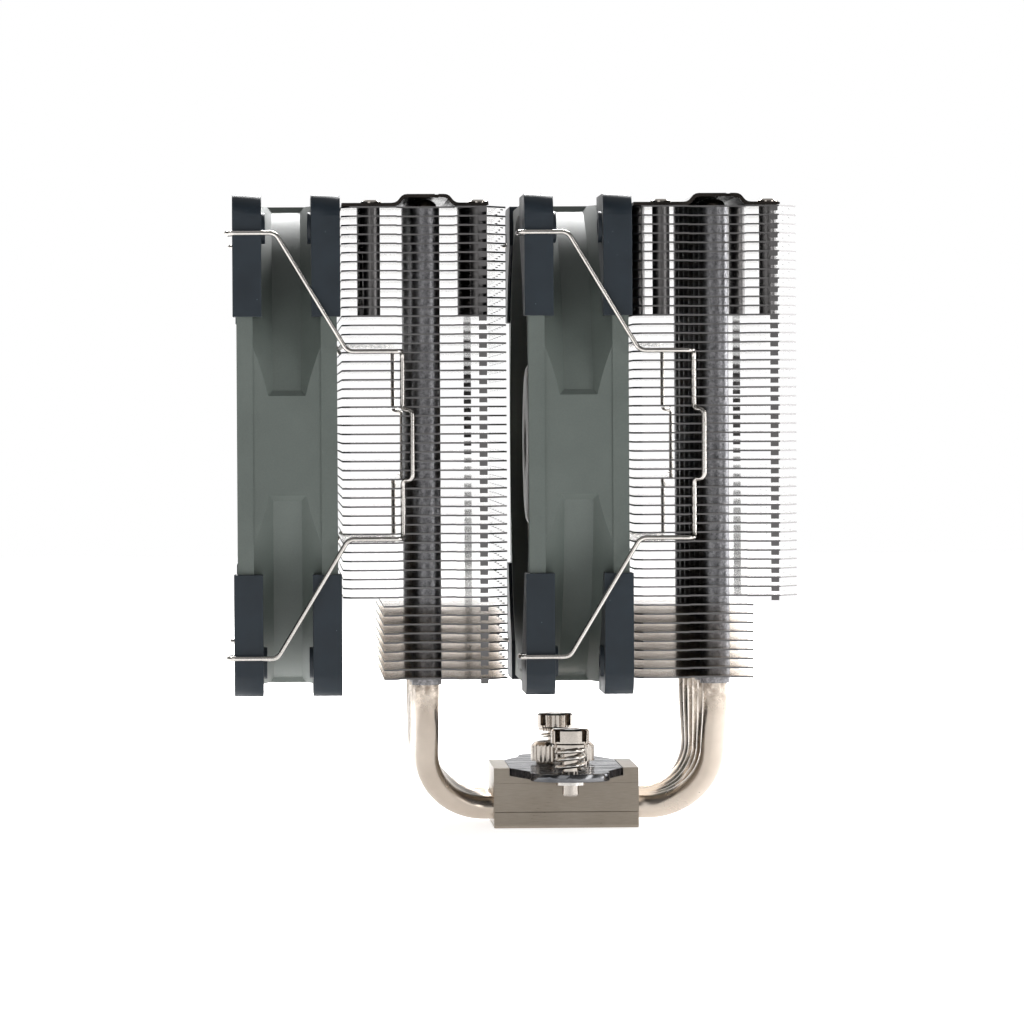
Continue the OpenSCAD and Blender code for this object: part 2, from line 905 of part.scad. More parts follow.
// ---- fan clips ----

// Half of a clip's line about its fan: from the hook in the pad to the middle of the grip
function half_clip(fan_x, tower, m) =
  let (
    top = clip_arm_z,
    inlet = fan_x - fan_t / 2 - gap - wire_r - 0.5,
    hole_y = hole_pos,
    fin_start = tower - fin_inlet + 1.3,
    dip = tower - notch_half + gap + wire_r + 0.3
  )
  [
    [fan_x - fan_t / 2 + 3, -hole_y, m * top],
    [inlet, -hole_y, m * top],
    [inlet, -clip_y, m * top],
    [fan_x - 2.6, -clip_y, m * top],
    [fin_start, -clip_y, m * clip_hook_z],
    [dip - 0.5, -clip_y, m * clip_hook_z],
    [dip, -clip_depth_y, m * clip_hook_z],
    [dip, -clip_depth_y, m * clip_grip_z],
    [tower - 3.5, -fin_half - 0.5, m * clip_grip_z]
  ];

module fan_clip(fan_x, tower, m) {
  line = softened(
    concat(half_clip(fan_x, tower, 1), reversed(half_clip(fan_x, tower, -1))),
    1.6, 3
  );
  color("silver")
    translate([0, 0, fan_z])
      mirror([0, m > 0 ? 1 : 0, 0])
        sweep(line, [for (p = line) wire_r], clip_sides, [0, 1, 0]);
}

base_plate();
base_cover();
heat_pipe(1);  // heat_pipe_1
heat_pipe(2);  // heat_pipe_2
heat_pipe(3);  // heat_pipe_3
heat_pipe(4);  // heat_pipe_4
heat_pipe(5);  // heat_pipe_5
heat_pipe(6);  // heat_pipe_6
upper_fins(-1);  // left_upper_fins
left_lower_fins();
upper_fins(1);  // right_upper_fins
right_lower_fins();
top_cover(-1);  // left_top_cover
top_cover(1);  // right_top_cover
cover_screws(-1);  // left_cover_screws
cover_screws(1);  // right_cover_screws
mounting_bar();
clamp_stud();
clamp_nut();
spring_screw(-1);  // near_spring_screw
screw_spring(-1);  // near_screw_spring
screw_washer(-1);  // near_screw_washer
retaining_ring(-1);  // near_retaining_ring
spring_screw(1);  // far_spring_screw
screw_spring(1);  // far_screw_spring
screw_washer(1);  // far_screw_washer
retaining_ring(1);  // far_retaining_ring
fan_frame(outer_fan_x);  // outer_fan_frame
motor_mount(outer_fan_x);  // outer_motor_mount
fan_pads(outer_fan_x);  // outer_fan_pads
impeller(outer_fan_x);  // outer_impeller
rotor_yoke(outer_fan_x);  // outer_rotor_yoke
rotor_magnet(outer_fan_x);  // outer_rotor_magnet
fan_shaft(outer_fan_x);  // outer_fan_shaft
bearing_sleeve(outer_fan_x);  // outer_bearing_sleeve
stator_core(outer_fan_x);  // outer_stator_core
stator_coils(outer_fan_x);  // outer_stator_coils
fan_board(outer_fan_x);  // outer_fan_board
hub_disc(outer_fan_x);  // outer_hub_disc
fan_frame(inner_fan_x);  // inner_fan_frame
motor_mount(inner_fan_x);  // inner_motor_mount
fan_pads(inner_fan_x);  // inner_fan_pads
impeller(inner_fan_x);  // inner_impeller
rotor_yoke(inner_fan_x);  // inner_rotor_yoke
rotor_magnet(inner_fan_x);  // inner_rotor_magnet
fan_shaft(inner_fan_x);  // inner_fan_shaft
bearing_sleeve(inner_fan_x);  // inner_bearing_sleeve
stator_core(inner_fan_x);  // inner_stator_core
stator_coils(inner_fan_x);  // inner_stator_coils
fan_board(inner_fan_x);  // inner_fan_board
hub_disc(inner_fan_x);  // inner_hub_disc
fan_clip(outer_fan_x, -tower_x, -1);  // outer_near_clip
fan_clip(outer_fan_x, -tower_x, 1);  // outer_far_clip
fan_clip(inner_fan_x, tower_x, -1);  // inner_near_clip
fan_clip(inner_fan_x, tower_x, 1);  // inner_far_clip
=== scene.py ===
"""Looks of a twin-tower processor cooler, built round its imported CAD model.

Everything is in metres in the CAD frame: X along the airflow, Y along the fan faces, Z up.
"""

import json
import math

import bmesh
import bpy
from mathutils import Matrix, Vector

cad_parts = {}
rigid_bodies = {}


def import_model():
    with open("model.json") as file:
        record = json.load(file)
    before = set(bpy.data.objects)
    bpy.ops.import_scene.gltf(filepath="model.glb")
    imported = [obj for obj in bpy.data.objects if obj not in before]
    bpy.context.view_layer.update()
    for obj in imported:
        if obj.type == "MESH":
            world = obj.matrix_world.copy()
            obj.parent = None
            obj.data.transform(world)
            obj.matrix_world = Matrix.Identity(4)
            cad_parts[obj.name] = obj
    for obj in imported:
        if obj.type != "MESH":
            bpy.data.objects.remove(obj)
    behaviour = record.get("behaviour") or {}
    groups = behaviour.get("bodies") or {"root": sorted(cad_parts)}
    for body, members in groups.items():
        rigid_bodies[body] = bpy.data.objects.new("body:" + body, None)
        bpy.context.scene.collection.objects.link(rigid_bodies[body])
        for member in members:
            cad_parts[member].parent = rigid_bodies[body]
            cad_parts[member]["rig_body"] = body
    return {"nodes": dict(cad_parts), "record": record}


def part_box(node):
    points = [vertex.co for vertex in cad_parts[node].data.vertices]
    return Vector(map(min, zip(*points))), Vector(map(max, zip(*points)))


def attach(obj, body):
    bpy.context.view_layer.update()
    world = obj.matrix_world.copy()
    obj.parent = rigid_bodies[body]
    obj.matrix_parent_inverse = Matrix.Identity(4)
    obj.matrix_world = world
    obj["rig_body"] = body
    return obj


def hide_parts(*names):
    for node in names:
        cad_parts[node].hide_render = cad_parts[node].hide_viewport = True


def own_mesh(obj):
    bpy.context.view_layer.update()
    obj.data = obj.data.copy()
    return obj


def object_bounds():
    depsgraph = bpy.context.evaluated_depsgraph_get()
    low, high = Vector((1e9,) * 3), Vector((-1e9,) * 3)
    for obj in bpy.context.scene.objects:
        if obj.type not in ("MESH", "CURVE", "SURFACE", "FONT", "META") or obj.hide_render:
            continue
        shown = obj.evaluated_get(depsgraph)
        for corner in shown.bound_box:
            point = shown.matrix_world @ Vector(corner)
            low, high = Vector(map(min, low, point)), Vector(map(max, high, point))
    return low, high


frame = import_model()
cad_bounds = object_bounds()

MM = 0.001
TAU = 2 * math.pi

# ---------------------------------------------------------------- sizes from the frame


def middle(node):
    low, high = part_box(node)
    return (low + high) / 2


SIDES = ("near", "far")
FANS = ("outer", "inner")

# heat pipes and fins
PIPE_R = 3.0 * MM
PIPE_COUNT = 6
PIPE_SIDES = 32
TOWER_X = middle("right_cover_screws").x
ROW_PITCH = 18 * MM
COLLAR_R = 3.65 * MM
FIN_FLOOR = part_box("left_lower_fins")[0].z
LOWER_FIN_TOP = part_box("left_lower_fins")[1].z

# wire clips: heights are from the middle of the fan, distances from the middle of the tower
WIRE_R = 0.575 * MM
CLIP_HOOK_Z = 22.6 * MM
CLIP_GRIP_Z = 8.4 * MM
CLIP_FIN_START = 19.05 * MM
CLIP_BEND_FROM_FAN = 2.6 * MM
CLIP_PRONG = 1.6 * MM
NOTCH_HALF = 7 * MM
NOTCH_WIRE_DEPTH = 1.525 * MM
CLIP_GRIP_FROM_TOWER = 3.5 * MM

# springs and fan wheels
SPRING_WIRE_R = 0.55 * MM
SPRING_TURNS = 3
HUB_WALL = 1.5 * MM
BLADE_COUNT = 9


# ---------------------------------------------------------------- shader building blocks


def put(tree, kind, settings=None, values=(), **inputs):
    """A new node. settings are its own properties; values fill its sockets in order, inputs by name."""
    made = tree.nodes.new(kind)
    for key, value in (settings or {}).items():
        setattr(made, key, value)
    named = [(made.inputs[key.replace("_", " ")], value) for key, value in inputs.items()]
    for socket, value in [*zip(made.inputs, values), *named]:
        if isinstance(value, bpy.types.NodeSocket):
            tree.links.new(value, socket)
        elif value is not None:
            socket.default_value = value
    return made


def math_node(tree, operation, *values):
    return put(tree, "ShaderNodeMath", {"operation": operation}, values).outputs[0]


def place(tree, scale=(1, 1, 1), turn=(0, 0, 0)):
    """Object coordinates, scaled per axis: a piece's own points are its place in the frame."""
    where = put(tree, "ShaderNodeTexCoord").outputs["Object"]
    return put(tree, "ShaderNodeMapping", Vector=where, Scale=scale, Rotation=turn).outputs[0]


def noise(tree, vector, scale, detail=3.0, rough=0.55):
    made = put(tree, "ShaderNodeTexNoise", Vector=vector, Scale=scale, Detail=detail, Roughness=rough)
    return made.outputs["Fac"]


def spread(tree, value, low, high, out_low=0.0, out_high=1.0, smooth=False):
    kind = {"interpolation_type": "SMOOTHSTEP" if smooth else "LINEAR"}
    return put(tree, "ShaderNodeMapRange", kind, (value, low, high, out_low, out_high)).outputs[0]


def mix_colour(tree, factor, a, b):
    made = put(tree, "ShaderNodeMix", {"data_type": "RGBA"})
    for index, value in ((0, factor), (6, a), (7, b)):
        if isinstance(value, bpy.types.NodeSocket):
            tree.links.new(value, made.inputs[index])
        else:
            made.inputs[index].default_value = (*value, 1) if hasattr(value, "__len__") else value
    return made.outputs[2]


def bump(tree, height, distance, strength=1.0, normal=None):
    made = put(tree, "ShaderNodeBump", Strength=strength, Distance=distance, Height=height)
    if normal is not None:
        tree.links.new(normal, made.inputs["Normal"])
    return made.outputs[0]


def new_material(name):
    made = bpy.data.materials.new(name)
    made.use_nodes = True
    tree = made.node_tree
    return made, tree, tree.nodes["Principled BSDF"]


def feed(tree, shader, **inputs):
    """Links or sets the shader's own sockets."""
    for key, value in inputs.items():
        socket = shader.inputs[key.replace("_", " ")]
        if isinstance(value, bpy.types.NodeSocket):
            tree.links.new(value, socket)
        else:
            socket.default_value = value


# ---------------------------------------------------------------- materials


def moulded_plastic(name, dark, light, rough, grain_mm=0.12, grain=0.02):
    """Spark-textured moulding: fine grain, slow drifts of tone and faint flow marks."""
    made, tree, shader = new_material(name)
    cloud = noise(tree, place(tree), 55, 4)
    fleck = noise(tree, place(tree), 1 / (0.35 * MM), 2)
    parts = (math_node(tree, "MULTIPLY", cloud, 0.7), math_node(tree, "MULTIPLY", fleck, 0.3))
    tone = math_node(tree, "ADD", *parts)
    colour = mix_colour(tree, spread(tree, tone, 0.35, 0.65), dark, light)
    fine = noise(tree, place(tree), 1 / (grain_mm * MM), 2, 0.7)
    wavy = noise(tree, place(tree, (1, 1, 0.2)), 160, 2)
    normal = bump(tree, wavy, 0.12 * MM, 0.25, bump(tree, fine, grain * MM, 0.8))
    feed(tree, shader, Base_Color=colour, Roughness=spread(tree, tone, 0.3, 0.7, rough - 0.06, rough + 0.08),
         Normal=normal, Specular_IOR_Level=0.45)
    return made


def pad_rubber():
    """Satin moulded rubber with a little pale dust."""
    made, tree, shader = new_material("pad_rubber")
    cloud = noise(tree, place(tree), 120, 4)
    base = mix_colour(tree, spread(tree, cloud, 0.3, 0.7), (0.0085, 0.0150, 0.0225), (0.0135, 0.0225, 0.0325))
    cells = put(tree, "ShaderNodeTexVoronoi", Vector=place(tree), Scale=1 / (1.1 * MM))
    near = spread(tree, cells.outputs["Distance"], 0.05, 0.075, 1, 0)
    lot = put(tree, "ShaderNodeSeparateColor", values=(cells.outputs["Color"],)).outputs[0]
    chosen = spread(tree, lot, 0.93, 0.94)
    dust = math_node(tree, "MULTIPLY", near, chosen)
    colour = mix_colour(tree, dust, base, (0.22, 0.27, 0.30))
    fine = noise(tree, place(tree), 1 / (0.16 * MM), 3, 0.7)
    feed(tree, shader, Base_Color=colour, Roughness=spread(tree, cloud, 0.3, 0.7, 0.40, 0.54),
         Normal=bump(tree, fine, 0.02 * MM, 0.7), Specular_IOR_Level=0.42, Sheen_Weight=0.05, Sheen_Roughness=0.4)
    return made


def metal(name, dark, light, rough_low, rough_high, lines, streak_mm, depth_mm=0.004, spots=0.0):
    """Metal with fine lines: lines scales each axis, small along the streaks and 1 across them."""
    made, tree, shader = new_material(name)
    across = noise(tree, place(tree, lines), 1 / (streak_mm * MM), 4, 0.65)
    cloud = noise(tree, place(tree), 90, 4)
    parts = (math_node(tree, "MULTIPLY", across, 0.6), math_node(tree, "MULTIPLY", cloud, 0.4))
    tone = math_node(tree, "ADD", *parts)
    colour = mix_colour(tree, spread(tree, tone, 0.33, 0.67), dark, light)
    rough = spread(tree, tone, 0.3, 0.7, rough_low, rough_high)
    normal = bump(tree, across, depth_mm * MM, 0.6)
    if spots:
        pits = noise(tree, place(tree), 1 / (0.5 * MM), 3, 0.6)
        normal = bump(tree, pits, spots * MM, 0.5, normal)
    feed(tree, shader, Base_Color=colour, Roughness=rough, Metallic=1.0, Normal=normal)
    return made


def fin_aluminium():
    """Bright rolled sheet with painted shade on its cut edges and on the collars round the pipes, and a tan painted
    reflection on the lower fins.
    """
    made, tree, shader = new_material("fin_aluminium")
    rolled = noise(tree, place(tree, (1, 0.04, 1)), 1 / (0.5 * MM), 3)
    cloud = noise(tree, place(tree), 70, 3)
    bright = mix_colour(tree, spread(tree, rolled, 0.3, 0.7), (0.93, 0.915, 0.895), (0.975, 0.965, 0.95))
    point = put(tree, "ShaderNodeSeparateXYZ", values=(put(tree, "ShaderNodeTexCoord").outputs["Object"],))
    off_x = math_node(tree, "SUBTRACT", math_node(tree, "ABSOLUTE", point.outputs[0]), TOWER_X)
    in_row = math_node(tree, "PINGPONG", point.outputs[1], ROW_PITCH / 2)
    off_y = math_node(tree, "SUBTRACT", in_row, ROW_PITCH / 2)
    squares = [math_node(tree, "MULTIPLY", off, off) for off in (off_x, off_y)]
    away = math_node(tree, "SQRT", math_node(tree, "ADD", *squares))
    # painted shade: the collars round the pipes are painted a mottled dark charcoal, standing in for the shade and dark
    # reflections between the fins
    collar = spread(tree, away, COLLAR_R + 0.02 * MM, COLLAR_R + 0.10 * MM, 1, 0)
    mottle = noise(tree, place(tree), 1 / (0.7 * MM), 4, 0.7)
    painted_collar_shade = mix_colour(tree, spread(tree, mottle, 0.35, 0.7), (0.15, 0.15, 0.16), (0.40, 0.40, 0.42))
    # painted reflection: fins below the top of the lower stack get a darker tan tint in patches, standing in for the
    # warm reflections they show
    low = spread(tree, point.outputs[2], LOWER_FIN_TOP - 2 * MM, LOWER_FIN_TOP + 1.5 * MM, 1, 0)
    patches = spread(tree, noise(tree, place(tree, (1, 0.3, 1)), 45, 3), 0.3, 0.7, 0.55, 1.0)
    painted_low_reflection = math_node(tree, "MULTIPLY", low, patches)
    sheet = mix_colour(tree, painted_low_reflection, bright, (0.86, 0.76, 0.65))
    # painted shade: faces that are not flat sheet (the fins' cut edges and tabs) are painted dark grey in place of the
    # shade they show
    facing = put(tree, "ShaderNodeSeparateXYZ", values=(put(tree, "ShaderNodeNewGeometry").outputs["True Normal"],))
    painted_edge_shade = spread(tree, math_node(tree, "ABSOLUTE", facing.outputs[2]), 0.3, 0.6, 1, 0)
    sheet = mix_colour(tree, painted_edge_shade, sheet, (0.17, 0.165, 0.165))
    colour = mix_colour(tree, collar, sheet, painted_collar_shade)
    rough = math_node(tree, "ADD", spread(tree, cloud, 0.3, 0.7, 0.07, 0.12),
                      math_node(tree, "MULTIPLY", math_node(tree, "MAXIMUM", collar, painted_edge_shade), 0.30))
    rough = math_node(tree, "ADD", rough, math_node(tree, "MULTIPLY", painted_low_reflection, 0.13))
    rough_skin = math_node(tree, "MULTIPLY", mottle, math_node(tree, "ADD", collar, 0.03))
    normal = bump(tree, rough_skin, 0.12 * MM, 0.6, bump(tree, rolled, 0.004 * MM, 0.4))
    feed(tree, shader, Base_Color=colour, Roughness=rough, Metallic=1.0, Normal=normal)
    return made


def pipe_nickel():
    """Nickel plating over drawn copper pipe, crusted with solder just under the fins."""
    made, tree, shader = new_material("pipe_nickel")
    point = put(tree, "ShaderNodeSeparateXYZ", values=(put(tree, "ShaderNodeTexCoord").outputs["Object"],))
    height = point.outputs[2]
    crust = spread(tree, height, FIN_FLOOR - 9 * MM, FIN_FLOOR - 1 * MM, 0, 1, True)
    blotch = noise(tree, place(tree), 1 / (2.2 * MM), 5, 0.7)
    cloud = noise(tree, place(tree), 60, 4)
    warm = mix_colour(tree, spread(tree, cloud, 0.3, 0.7), (0.50, 0.43, 0.365), (0.66, 0.585, 0.51))
    patchy = math_node(tree, "MULTIPLY", crust, spread(tree, blotch, 0.42, 0.62))
    colour = mix_colour(tree, patchy, warm, (0.36, 0.30, 0.25))
    fine = noise(tree, place(tree), 1 / (0.25 * MM), 3, 0.65)
    rough = math_node(tree, "ADD", spread(tree, cloud, 0.3, 0.7, 0.20, 0.30), math_node(tree, "MULTIPLY", patchy, 0.25))
    relief = math_node(tree, "MULTIPLY", blotch, math_node(tree, "ADD", crust, 0.12))
    normal = bump(tree, relief, 0.25 * MM, 0.5, bump(tree, fine, 0.01 * MM, 0.6))
    feed(tree, shader, Base_Color=colour, Roughness=rough, Metallic=1.0, Normal=normal)
    return made


def black_nickel():
    """Glossy black nickel sheet with faint wipe marks."""
    made, tree, shader = new_material("black_nickel")
    wipe = noise(tree, place(tree, (1, 0.25, 1)), 140, 4, 0.6)
    colour = mix_colour(tree, spread(tree, wipe, 0.3, 0.7), (0.030, 0.024, 0.020), (0.065, 0.053, 0.045))
    fine = noise(tree, place(tree, (1, 0.05, 1)), 1 / (0.3 * MM), 3)
    feed(tree, shader, Base_Color=colour, Metallic=0.85, Roughness=spread(tree, wipe, 0.3, 0.7, 0.10, 0.22),
         Normal=bump(tree, fine, 0.004 * MM, 0.5), Coat_Weight=0.5, Coat_Roughness=0.08)
    return made


def painted_dark_bar():
    """Polished nickel on the stamped bar, its colour darkened as painted reflection of dark surroundings; gently wavy,
    so it mirrors the room in patches.
    """
    made, tree, shader = new_material("painted_dark_bar")
    cloud = noise(tree, place(tree), 120, 3)
    # painted reflection: the dark base colour and tint stand in for the dark surroundings the bar mirrors
    colour = mix_colour(tree, spread(tree, cloud, 0.3, 0.7), (0.10, 0.105, 0.115), (0.20, 0.20, 0.205))
    wave = noise(tree, place(tree, (0.6, 1, 1)), 1 / (7 * MM), 2, 0.5)
    fine = noise(tree, place(tree, (0.1, 1, 1)), 1 / (0.4 * MM), 3)
    feed(tree, shader, Base_Color=colour, Metallic=0.9, Roughness=spread(tree, cloud, 0.3, 0.7, 0.10, 0.18),
         Specular_Tint=(0.25, 0.25, 0.27, 1), Normal=bump(tree, wave, 0.9 * MM, 0.8, bump(tree, fine, 0.003 * MM, 0.5)))
    return made


def coil_copper():
    """Enamelled wire wound in close turns."""
    made, tree, shader = new_material("coil_copper")
    turns = put(tree, "ShaderNodeTexWave", {"wave_type": "BANDS", "bands_direction": "X"}, Vector=place(tree),
                Scale=1 / (1.6 * MM), Distortion=1.5, Detail=1.0).outputs["Fac"]
    colour = mix_colour(tree, turns, (0.35, 0.12, 0.045), (0.80, 0.36, 0.16))
    feed(tree, shader, Base_Color=colour, Metallic=0.9, Roughness=0.28, Normal=bump(tree, turns, 0.2 * MM, 0.8))
    return made


def circuit_board():
    """Solder mask over plain copper areas."""
    made, tree, shader = new_material("circuit_board")
    cells = put(tree, "ShaderNodeTexVoronoi", {"distance": "CHEBYCHEV"}, Vector=place(tree), Scale=1 / (2.5 * MM))
    tracks = spread(tree, cells.outputs["Distance"], 0.30, 0.34)
    colour = mix_colour(tree, tracks, (0.010, 0.065, 0.030), (0.018, 0.12, 0.05))
    feed(tree, shader, Base_Color=colour, Roughness=0.32, Normal=bump(tree, tracks, 0.03 * MM, 0.8))
    return made


def hub_film():
    """A blank dark satin film."""
    made, tree, shader = new_material("hub_film")
    cloud = noise(tree, place(tree), 200, 4)
    colour = mix_colour(tree, spread(tree, cloud, 0.3, 0.7), (0.022, 0.024, 0.026), (0.04, 0.043, 0.046))
    feed(tree, shader, Base_Color=colour, Roughness=spread(tree, cloud, 0.3, 0.7, 0.28, 0.42),
         Normal=bump(tree, cloud, 0.02 * MM, 0.4))
    return made


def make_materials():
    """One finish for each of the record's material slots."""
    return {
        "base_nickel": metal("base_nickel", (0.25, 0.215, 0.175), (0.35, 0.31, 0.262), 0.26, 0.40,
                             (0.035, 0.035, 1), 0.11, 0.006),
        "pipe_nickel": pipe_nickel(),
        "fin_aluminium": fin_aluminium(),
        "black_nickel": black_nickel(),
        "bright_nickel": metal("bright_nickel", (0.30, 0.27, 0.24), (0.50, 0.46, 0.42), 0.06, 0.16,
                               (1, 0.08, 1), 0.3, 0.003, 0.008),
        "spring_steel": metal("spring_steel", (0.50, 0.47, 0.44), (0.78, 0.75, 0.71), 0.16, 0.30,
                              (0.3, 0.3, 0.3), 0.12, 0.004),
        "fan_plastic": moulded_plastic("fan_plastic", (0.104, 0.123, 0.111), (0.132, 0.154, 0.140), 0.50),
        "pad_rubber": pad_rubber(),
        "impeller_plastic": moulded_plastic("impeller_plastic", (0.40, 0.325, 0.265), (0.47, 0.39, 0.325), 0.36,
                                            0.2, 0.01),
        "yoke_steel": metal("yoke_steel", (0.36, 0.35, 0.34), (0.55, 0.54, 0.53), 0.22, 0.4, (0.1, 1, 1), 0.2),
        "magnet_ferrite": metal("magnet_ferrite", (0.03, 0.03, 0.033), (0.07, 0.07, 0.075), 0.5, 0.7,
                                (1, 1, 1), 0.4, 0.02),
        "bearing_bronze": metal("bearing_bronze", (0.46, 0.30, 0.13), (0.66, 0.46, 0.22), 0.35, 0.5,
                                (1, 1, 1), 0.3, 0.02),
        "stator_steel": metal("stator_steel", (0.24, 0.24, 0.25), (0.46, 0.46, 0.48), 0.3, 0.45,
                              (1, 0.02, 0.02), 0.35, 0.05),
        "coil_copper": coil_copper(),
        "circuit_board": circuit_board(),
        "hub_film": hub_film(),
    }


MATERIALS = make_materials()
SLOT_OF = {part["node"]: part["material_slot"] for part in frame["record"]["subparts"]}


# ---------------------------------------------------------------- mesh building blocks


def add_piece(name, points, faces, node, sharp):
    """A new piece that stands for a CAD node, on its body and in its finish. sharp is in degrees."""
    mesh = bpy.data.meshes.new(name)
    mesh.from_pydata([tuple(p) for p in points], [], faces)
    work = bmesh.new()
    work.from_mesh(mesh)
    bmesh.ops.recalc_face_normals(work, faces=work.faces)
    work.to_mesh(mesh)
    work.free()
    mesh.shade_smooth()
    mesh.set_sharp_from_angle(angle=math.radians(sharp))
    mesh.materials.append(MATERIALS[SLOT_OF[node]])
    made = bpy.data.objects.new(name, mesh)
    bpy.context.scene.collection.objects.link(made)
    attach(made, frame["nodes"][node]["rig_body"])
    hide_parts(node)
    return made


def tube(points, radii, sides):
    """Points and faces of a closed round tube along a line, with a frame carried without twist."""
    count = len(points)
    ways = []
    for i in range(count):
        back = (points[i] - points[i - 1]).normalized() if i else Vector((0, 0, 0))
        on = (points[i + 1] - points[i]).normalized() if i < count - 1 else Vector((0, 0, 0))
        ways.append((back + on).normalized())
    normal = ways[0].orthogonal()
    rings = []
    for point, way, radius in zip(points, ways, radii):
        normal = (normal - way * normal.dot(way)).normalized()
        other = way.cross(normal)
        rings.append([point + radius * (math.cos(TAU * k / sides) * normal + math.sin(TAU * k / sides) * other)
                      for k in range(sides)])
    return loft(rings)


def loft(rings):
    """Points and faces of a skin over closed rings of equal length, with both ends closed."""
    sides = len(rings[0])
    faces = []
    for i in range(len(rings) - 1):
        for k in range(sides):
            j = (k + 1) % sides
            faces.append((i * sides + k, i * sides + j, (i + 1) * sides + j, (i + 1) * sides + k))
    last = (len(rings) - 1) * sides
    faces.append(tuple(range(sides))[::-1])
    faces.append(tuple(last + k for k in range(sides)))
    return [p for ring in rings for p in ring], faces


def rounded(points, reach, steps):
    """A line of points with every corner replaced by a smooth bend."""
    out = [points[0]]
    for before, here, after in zip(points, points[1:], points[2:]):
        back, on = before - here, after - here
        a = here + back.normalized() * min(reach, back.length * 0.45)
        b = here + on.normalized() * min(reach, on.length * 0.45)
        for k in range(steps + 1):
            s = k / steps
            out.append(a * (1 - s) ** 2 + here * (2 * s * (1 - s)) + b * s * s)
    return out + [points[-1]]


def merge(parts):
    """Several (points, faces) as one."""
    points, faces = [], []
    for more, skins in parts:
        start = len(points)
        points += more
        faces += [tuple(start + i for i in face) for face in skins]
    return points, faces


# ---------------------------------------------------------------- heat pipes


def pipe_line(node, side):
    """Half of a pipe's centre line, from its tip in one tower to the middle of the base."""
    low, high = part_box(node)
    base_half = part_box("base_cover")[1].x
    outward = -1 if low.y + high.y < 0 else 1
    tower_y = high.y - PIPE_R if outward > 0 else low.y + PIPE_R
    base_y = low.y + PIPE_R if outward > 0 else high.y - PIPE_R
    run = 2.2 * MM
    bend = TOWER_X - base_half - run
    base_z = low.z + PIPE_R
    leg_z = FIN_FLOOR - 0.8 * MM
    drop = leg_z - base_z - bend
    arc = bend * math.pi / 2
    whole = drop + arc + run
    tip = [(0, 0.0), (0.15, 0.55), (0.5, 0.8), (1.1, 0.95), (2.0, 1.0)]
    line = [(Vector((side * TOWER_X, tower_y, high.z - deep * MM)), share) for deep, share in tip]
    line.append((Vector((side * TOWER_X, tower_y, leg_z + 1 * MM)), 1.0))
    steps = 60
    for k in range(steps + 1):
        s = k / steps * whole
        turn = min(max((s - drop) / arc, 0), 1) * math.pi / 2
        x = TOWER_X - bend + bend * math.cos(turn) - max(s - drop - arc, 0)
        z = base_z + bend - bend * math.sin(turn) if s > drop else leg_z - s
        share = k / steps
        y = tower_y + (base_y - tower_y) * share * share * (3 - 2 * share)
        line.append((Vector((side * x, y, z)), 1.0))
    line.append((Vector((side * (base_half - 1 * MM), base_y, base_z)), 1.0))
    return line


def make_heat_pipes():
    for number in range(1, PIPE_COUNT + 1):
        node = f"heat_pipe_{number}"
        line = pipe_line(node, -1) + pipe_line(node, 1)[::-1]
        points = [p for p, _ in line]
        radii = [max(share, 0.3) * PIPE_R for _, share in line]
        add_piece(f"pipe_{number}", *tube(points, radii, PIPE_SIDES), node, sharp=60)


# ---------------------------------------------------------------- clips and springs


def make_clips():
    """Bent wire clips, hooked in the pads and in the notches of the fins."""
    fin_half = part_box("left_top_cover")[1].y
    for fan in FANS:
        tower = -TOWER_X if fan == "outer" else TOWER_X
        body_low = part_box(f"{fan}_fan_pads")[0]
        fan_x, _, fan_z = middle(f"{fan}_fan_pads")
        for side, sign in zip(SIDES, (-1, 1)):
            node = f"{fan}_{side}_clip"
            low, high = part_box(node)
            outside = abs(low.y if sign < 0 else high.y) - WIRE_R
            inside = abs(high.y if sign < 0 else low.y) + WIRE_R
            inlet, arm = low.x + WIRE_R, (high.z - low.z) / 2 - WIRE_R
            dip = tower - NOTCH_HALF + 0.6 * MM + WIRE_R
            half = [
                (body_low.x + CLIP_PRONG, inside, arm),
                (inlet, inside, arm),
                (inlet, outside, arm),
                (fan_x - CLIP_BEND_FROM_FAN, outside, arm),
                (tower - CLIP_FIN_START, outside, CLIP_HOOK_Z),
                (dip - 0.5 * MM, outside, CLIP_HOOK_Z),
                (dip, fin_half - NOTCH_WIRE_DEPTH, CLIP_HOOK_Z),
                (dip, fin_half - NOTCH_WIRE_DEPTH, CLIP_GRIP_Z),
                (tower - CLIP_GRIP_FROM_TOWER, fin_half + 0.5 * MM, CLIP_GRIP_Z),
            ]
            turns = [Vector((x, sign * y, fan_z + z)) for x, y, z in half]
            turns += [Vector((x, sign * y, fan_z - z)) for x, y, z in half[::-1]]
            line = rounded(turns, 1.6 * MM, 8)
            radii = [WIRE_R] * len(line)
            add_piece(f"{fan}_{side}_wire_clip", *tube(line, radii, 16), node, sharp=60)


def make_springs():
    """Coil springs under the screw heads, their end turns nearly flat."""
    for side in SIDES:
        node = f"{side}_screw_spring"
        low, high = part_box(node)
        centre = middle(node)
        coil = (high.x - low.x) / 2 - SPRING_WIRE_R
        per_turn = 48
        rise = high.z - low.z - 2 * SPRING_WIRE_R
        line = []
        for i in range(SPRING_TURNS * per_turn + 1):
            s = i / per_turn
            if s < 0.5:
                climb = s * 0.25
            elif s > SPRING_TURNS - 0.5:
                climb = 1 - (SPRING_TURNS - s) * 0.25
            else:
                climb = 0.125 + 0.75 * (s - 0.5) / (SPRING_TURNS - 1)
            angle = TAU * s
            line.append(Vector((centre.x + coil * math.cos(angle), centre.y + coil * math.sin(angle),
                                low.z + SPRING_WIRE_R + rise * climb)))
        radii = [SPRING_WIRE_R] * len(line)
        made = add_piece(f"{side}_coil_spring", *tube(line, radii, 16), node, sharp=60)
        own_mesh(made)


# ---------------------------------------------------------------- impellers


